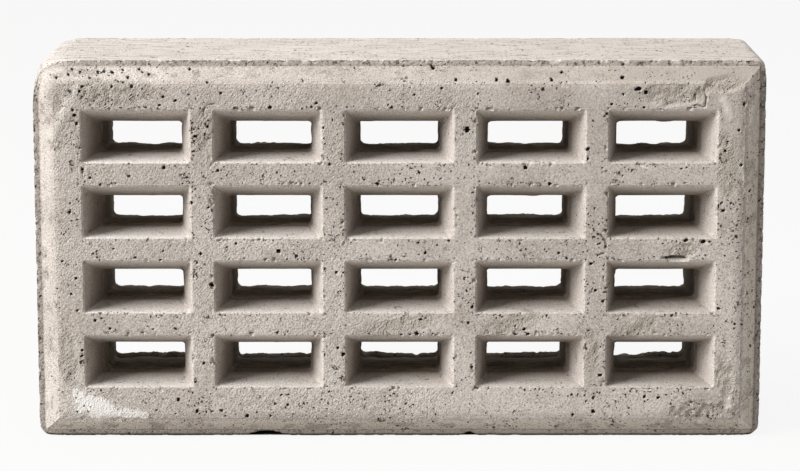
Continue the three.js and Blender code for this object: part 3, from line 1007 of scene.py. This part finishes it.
def castConcrete():
    material = bpy.data.materials.new("castConcrete")
    tree = emptyTree(material)
    at = node(tree, "TexCoord", {})["Object"]
    mark = {name: node(tree, "Attribute", {}, attribute_name=name)["Fac"] for name in marks}
    noises = {
        name: node(tree, "TexNoise", {0: at, 2: metre / size, 3: layers, 4: fine, 8: bent})["Fac"]
        for name, (size, layers, fine, bent) in concrete["noises"].items()
    }

    # round air holes in two sizes, with wavering rims, drawn out along the scrapes
    rim = concrete["pitRim"]
    waver = node(tree, "TexNoise", {0: at, 2: metre / rim["waverSize"], 3: 2.0})["Color"]
    centred = node(tree, "VectorMath", {0: waver, 1: (0.5, 0.5, 0.5)}, operation="SUBTRACT")[0]
    scaled = node(tree, "VectorMath", {0: centred, 3: rim["waver"] * mm}, operation="SCALE")[0]
    wavered = node(tree, "VectorMath", {0: at, 1: scaled}, operation="ADD")[0]
    againstScrape = (0.0, -scrape["lean"], 0.0)
    drawnOut = {0: wavered, 2: againstScrape, 3: rim["stretch"]}
    pitPlace = node(tree, "Mapping", drawnOut, vector_type="TEXTURE")[0]
    crowd = 0.0
    for where, low, high, least, most in (  # where, from, to, and what each end adds to the chance of a hole
        (noises["crowding"], 0.35, 0.65, -0.34, 0.16),
        (mark["nearMouth"], 0.0, 1.0, 0.0, 0.32),
        (mark["porous"], 0.0, 1.0, -0.08, 0.20),
        (mark["topFinish"], 0.0, 1.0, 0.0, 0.13),
    ):
        more = node(tree, "MapRange", {0: where, 1: low, 2: high, 3: least, 4: most})[0]
        crowd = node(tree, "Math", {0: crowd, 1: more}, operation="ADD")[0]

    # short crooked cracks between sand grains, pieces of a noise's middle line in groups, and then the holes
    width, groups = concrete["crack"]["width"], concrete["crack"]["groups"]
    fromMiddle = node(tree, "Math", {0: noises["crooked"], 1: 0.5}, operation="SUBTRACT")[0]
    distance = node(tree, "Math", {0: fromMiddle}, operation="ABSOLUTE")[0]
    line = node(tree, "MapRange", {0: distance, 1: width[0], 2: width[1], 3: 1.0, 4: 0.0})[0]
    group = node(tree, "MapRange", {0: noises["group"], 1: groups[0], 2: groups[1]})[0]
    allPits = node(tree, "Math", {0: line, 1: group}, operation="MULTIPLY")[0]
    for cell, radius, rare in concrete["pits"].values():
        cells = node(tree, "TexVoronoi", {0: pitPlace, 2: metre / cell})
        drawn = node(tree, "SeparateColor", {0: cells["Color"]})[0]
        chance = node(tree, "Math", {0: drawn, 1: crowd}, operation="ADD")[0]
        outer = node(tree, "MapRange", {0: chance, 1: rare, 2: 1.0, 3: 0.0, 4: radius / cell})[0]
        inner = node(tree, "Math", {0: outer, 1: rim["flank"]}, operation="MULTIPLY")[0]
        holes = node(tree, "MapRange", {0: cells["Distance"], 1: inner, 2: outer, 3: 1.0, 4: 0.0})[0]
        allPits = node(tree, "Math", {0: allPits, 1: holes}, operation="MAXIMUM")[0]
    offSmooth = node(tree, "MapRange", {0: mark["smooth"], 3: 1.0, 4: concrete["pitsOnSmooth"]})[0]
    pitDentsAndShade = node(tree, "Math", {0: allPits, 1: offSmooth}, operation="MULTIPLY")[0]

    # the core dragged ribs round the channel, the trowel dragged shallow scrapes along the top,
    # and the ledge is nibbled all along
    rib, streak = concrete["ribs"], concrete["streak"]
    ribPlace = node(tree, "Mapping", {0: at, 3: (rib["along"], 1.0, rib["along"])})[0]
    ribs = node(tree, "TexNoise", {0: ribPlace, 2: metre / rib["size"], 3: rib["layers"], 4: rib["fine"]})["Fac"]
    long, wide = metre / streak["length"], metre / streak["width"]
    streakPlace = node(tree, "Mapping", {0: at, 2: (0.0, 0.0, streak["turn"]), 3: (long, wide, wide)})[0]
    streaks = node(tree, "TexNoise", {0: streakPlace, 2: 1.0, 3: streak["layers"], 4: streak["fine"]})["Fac"]
    ribbed, streaked, nibbled = (
        node(tree, "Math", {0: pattern, 1: mark[where]}, operation="MULTIPLY")[0]
        for pattern, where in ((ribs, "ribbing"), (streaks, "topFinish"), (noises["grit"], "ledge"))
    )

    coats = (  # colour, where, from, to, strength
        ("palePaste", noises["cloud"], 0.42, 0.62, 0.8),
        ("darkPaste", noises["patch"], 0.52, 0.72, 0.4),
        ("palePaste", mark["coarse"], 0.2, 0.9, 0.25),
        # a warm tone with painted light, lifting the shade on the right and lower chamfers
        ("warmChamferLight", mark["shadedChamferLight"], 0.2, 0.9, 0.65),
        ("sandDark", mark["stain"], 0.1, 0.8, 0.42),
        # painted light on the flares
        ("palePaste", mark["flare"], 0.0, 1.0, 0.9),
        # painted shade on the mouths' lower arrises
        ("sandDark", mark["sillPaintedShade"], 0.0, 1.0, 0.42),
        # painted light on the floors of the openings and channels
        ("sandPale", mark["floorPaintedLight"], 0.0, 1.0, 0.95),
        ("sandPale", noises["sand"], 0.47, 0.29, 0.78),
        ("sandDark", noises["sand"], 0.53, 0.72, 0.92),
        ("darkPaste", noises["grit"], 0.55, 0.75, 0.4),
        ("trowelled", mark["topFinish"], 0.0, 1.0, 0.6),
        ("trowelStreak", streaked, 0.51, 0.63, 0.95),
        ("darkPaste", mark["darkerUpwards"], 0.0, 1.0, 0.75),
        ("darkPaste", mark["ledge"], 0.0, 1.0, 0.40),
        # painted shade on the side ledges
        ("sandDark", mark["sideLedgeShade"], 0.0, 1.0, 0.40),
        ("hole", nibbled, 0.53, 0.63, 0.82),
        ("brokenStone", mark["broken"], 0.1, 0.8, 0.6),
        ("smearedPaste", mark["smeared"], 0.1, 0.9, 0.7),
        ("limeBloom", mark["lime"], 0.0, 1.0, 0.86),
        # painted shade deep in the openings and channels
        ("depthShade", mark["openingShade"], 0.0, 1.0, 0.55),
        ("channel", mark["deep"], 0.0, 1.0, 0.6),
        ("channelPale", ribbed, 0.48, 0.58, 0.85),
        # painted light on the lip
        ("lipPaintedLight", mark["lip"], 0.0, 1.0, 0.9),
        # painted shade along the foot, then a near-black painted contact shadow at the ground
        ("footPaintedShade", mark["foot"], 0.0, 1.0, 0.8),
        ("hole", mark["foot"], 0.86, 0.97, 0.85),
        # painted shadow line in front of the lip
        ("hole", mark["lipShadowLine"], 0.2, 0.8, 0.7),
        # painted shade in the pits and cracks of the material, and in the holes, chips, cracks and bites of the mesh
        ("hole", pitDentsAndShade, 0.12, 0.58, 0.96),
        ("hole", mark["holeShade"], 0.25, 0.55, 1.0),
    )
    base = linear(concrete["paste"])
    for colour, where, low, high, strength in coats:
        share = node(tree, "MapRange", {0: where, 1: low, 2: high, 3: 0.0, 4: strength})[0]
        base = node(tree, "Mix", {0: share, 6: base, 7: linear(concrete[colour])}, data_type="RGBA")[2]

    # relief: holes, and grain and slanting scrapes that are strong where the mix is coarse or broken
    coarseRelief = node(tree, "MapRange", {0: mark["coarse"], 3: concrete["fineRelief"], 4: 1.0})[0]
    evened = node(tree, "MapRange", {0: mark["smooth"], 3: coarseRelief, 4: concrete["smoothRelief"]})[0]
    worked = node(tree, "Math", {0: evened, 1: mark["broken"]}, operation="ADD")[0]
    long, wide = (concrete["scrape"][side] * mm for side in ("length", "width"))
    scrapePlace = node(tree, "Mapping", {0: at, 2: againstScrape, 3: (long, wide, wide)}, vector_type="TEXTURE")[0]
    scrapes = node(tree, "TexNoise", {0: scrapePlace, 2: 1.0, 3: 1.0, 4: 0.5})["Fac"]
    relief = node(tree, "Bump", {0: 1.0, 1: concrete["pitDepth"] * mm, "Height": pitDentsAndShade}, invert=True)[0]
    for height, depth in ((scrapes, concrete["scrape"]["depth"]), (noises["grain"], concrete["grainDepth"])):
        relief = node(tree, "Bump", {"Strength": worked, 1: depth * mm, "Height": height, "Normal": relief})[0]
    surface = {"Base Color": base, "Normal": relief, "Roughness": concrete["roughness"]}
    shader = node(tree, "BsdfPrincipled", {**surface, "Specular IOR Level": concrete["specular"]})
    node(tree, "OutputMaterial", {"Surface": shader[0]})
    return material


castBlock = castConcrete()
for piece in pieces.values():
    piece.data.materials.append(castBlock)
print("material done")


studio = {
    "floorHalf": 12.0,
    "paper": "#b8b6b3",
    "paperGlow": 0.90,  # to the camera alone, so that the paper stays as pale as the air behind it
    "aim": (0.0, 0.0, 0.1),
    "keyAt": (-3.55, -2.10, 2.40),
    "keySize": 2.7,
    "keyWatts": 306,
    "overheadAt": (-0.2, -0.2, 2.0),
    "overheadSize": 1.1,
    "overheadWatts": 23,
    "airLight": 0.245,
}
white = (1, 1, 1, 1)


def palePaperFloor():
    half = studio["floorHalf"]
    mesh = bpy.data.meshes.new("studioFloor")
    corners = [(-half, -half, 0), (half, -half, 0), (half, half, 0), (-half, half, 0)]
    mesh.from_pydata(corners, [], [(0, 1, 2, 3)])
    floor = put("studioFloor", mesh)
    material = bpy.data.materials.new("palePaper")
    tree = emptyTree(material)
    diffuse = node(tree, "BsdfDiffuse", {0: linear(studio["paper"])})[0]
    glow = node(tree, "Emission", {0: white, 1: 1.0})[0]
    seen = node(tree, "LightPath", {})["Is Camera Ray"]
    share = node(tree, "Math", {0: seen, 1: studio["paperGlow"]}, operation="MULTIPLY")[0]
    mixed = node(tree, "MixShader", {0: share, 1: diffuse, 2: glow})[0]
    node(tree, "OutputMaterial", {"Surface": mixed})
    mesh.materials.append(material)


def softbox(name, at, size, watts):
    light = bpy.data.lights.new(name, "AREA")
    light.shape = "SQUARE"
    light.size = size
    light.energy = watts
    lamp = put(name, light)
    lamp.location = at
    lamp.rotation_euler = (Vector(studio["aim"]) - Vector(at)).to_track_quat("-Z", "Y").to_euler()


palePaperFloor()
softbox("keySoftbox", studio["keyAt"], studio["keySize"], studio["keyWatts"])
softbox("overheadSoftbox", studio["overheadAt"], studio["overheadSize"], studio["overheadWatts"])

world = bpy.data.worlds.new("studioAir")
bpy.context.scene.world = world
sky = emptyTree(world)
seen = node(sky, "LightPath", {})["Is Camera Ray"]
strength = node(sky, "MapRange", {0: seen, 3: studio["airLight"], 4: 1.0})[0]
air = node(sky, "Background", {0: white, "Strength": strength})[0]
node(sky, "OutputWorld", {"Surface": air})

# distances in millimetres and metres, pitch in degrees
view = {"x": 0.38, "distance": 1559.5, "height": 406.9, "pitch": 10.71, "lens": 133.96, "sensor": 36.0, "far": 50.0}
camera = bpy.data.cameras.new("camera")
camera.lens = view["lens"]
camera.sensor_width = view["sensor"]
camera.clip_end = view["far"]
cameraObject = put("camera", camera)
cameraObject.location = (view["x"] * mm, (block["front"] - view["distance"]) * mm, view["height"] * mm)
cameraObject.rotation_euler = (math.radians(90 - view["pitch"]), 0, 0)
bpy.context.scene.camera = cameraObject
bpy.context.scene.view_settings.view_transform = "Standard"
print("studio done")
